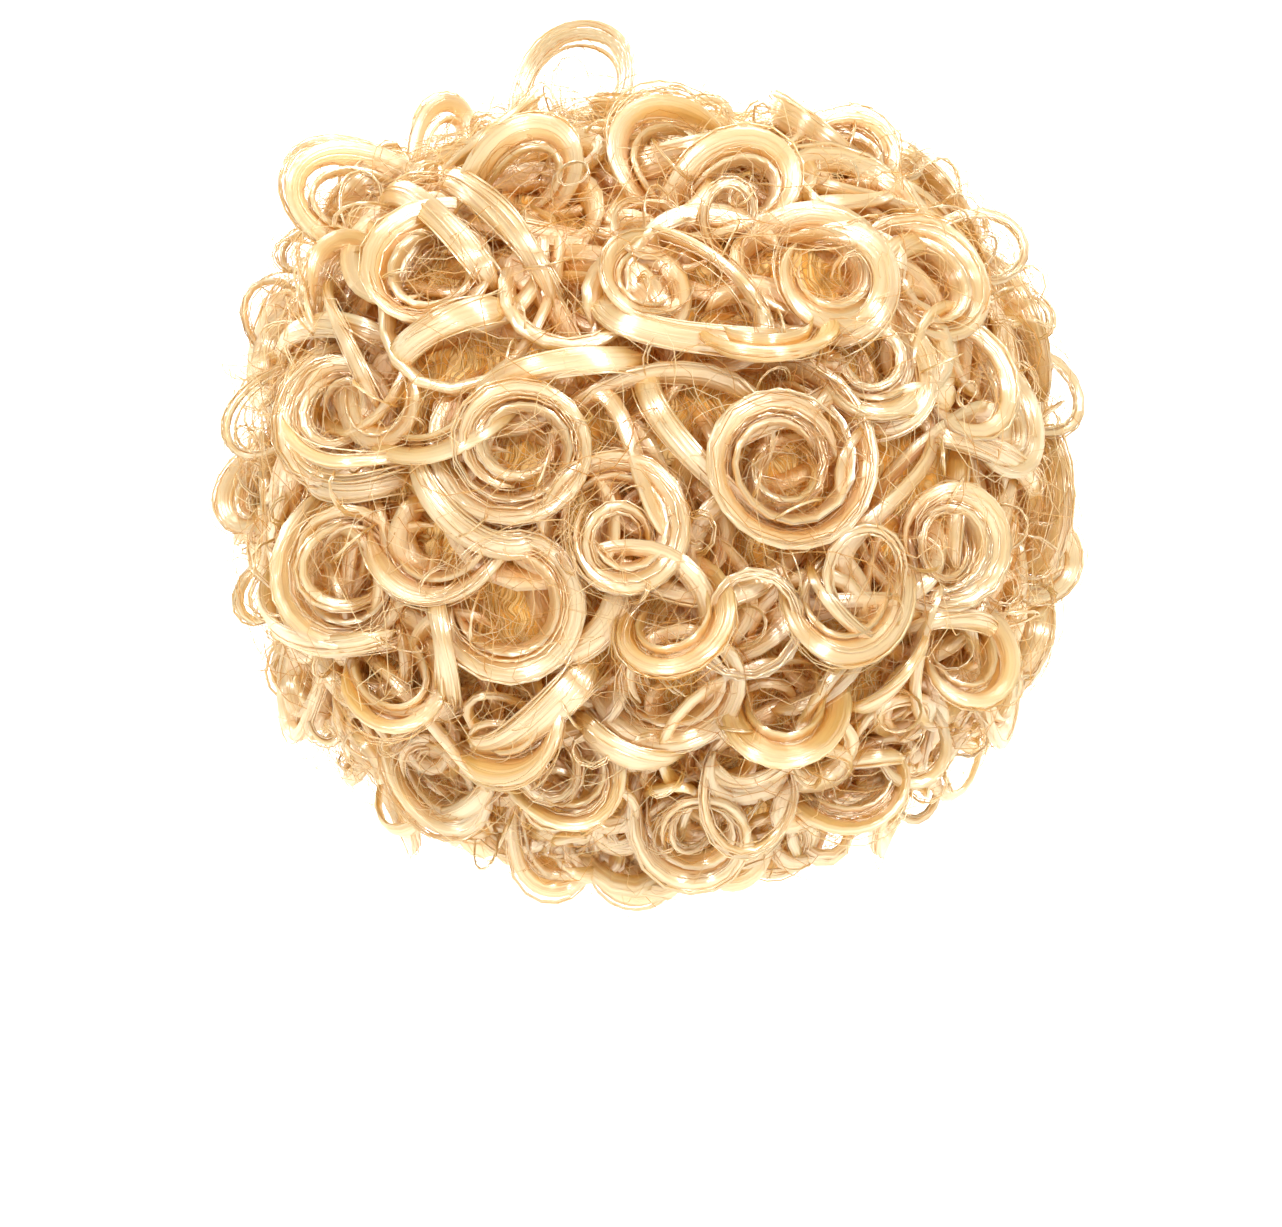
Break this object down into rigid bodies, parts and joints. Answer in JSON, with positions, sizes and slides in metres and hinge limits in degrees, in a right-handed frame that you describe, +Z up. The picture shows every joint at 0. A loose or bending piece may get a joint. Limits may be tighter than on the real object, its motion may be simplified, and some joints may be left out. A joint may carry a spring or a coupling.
{
  "type": "wig",
  "caption": "Short wig of loose ring curls on a dome-shaped cap with an elastic edge band, open below for the head and at the front for the face.",
  "frame": {"origin": "the point inside the cap that rests on the top of the head", "axes": "+Z up; the wearer faces -Y, so the back of the wig is towards +Y; +X is the wearer's left"},
  "size_m": [0.2804, 0.2925, 0.2806],
  "materials": {
    "cap_net": "matte knitted net",
    "elastic": "matte woven elastic",
    "crown_curls": "glossy golden-blonde synthetic hair",
    "back_curls": "glossy golden-blonde synthetic hair",
    "nape_curls": "glossy golden-blonde synthetic hair",
    "left_curls": "glossy golden-blonde synthetic hair",
    "right_curls": "glossy golden-blonde synthetic hair",
    "fringe_curls": "glossy golden-blonde synthetic hair"
  },
  "bodies": {
    "root": {"cap_dome": "cap_net", "edge_band": "elastic", "crown_hair": "crown_curls", "back_hair": "back_curls", "nape_hair": "nape_curls", "left_hair": "left_curls", "right_hair": "right_curls", "fringe_hair": "fringe_curls"}
  },
  "joints": []
}
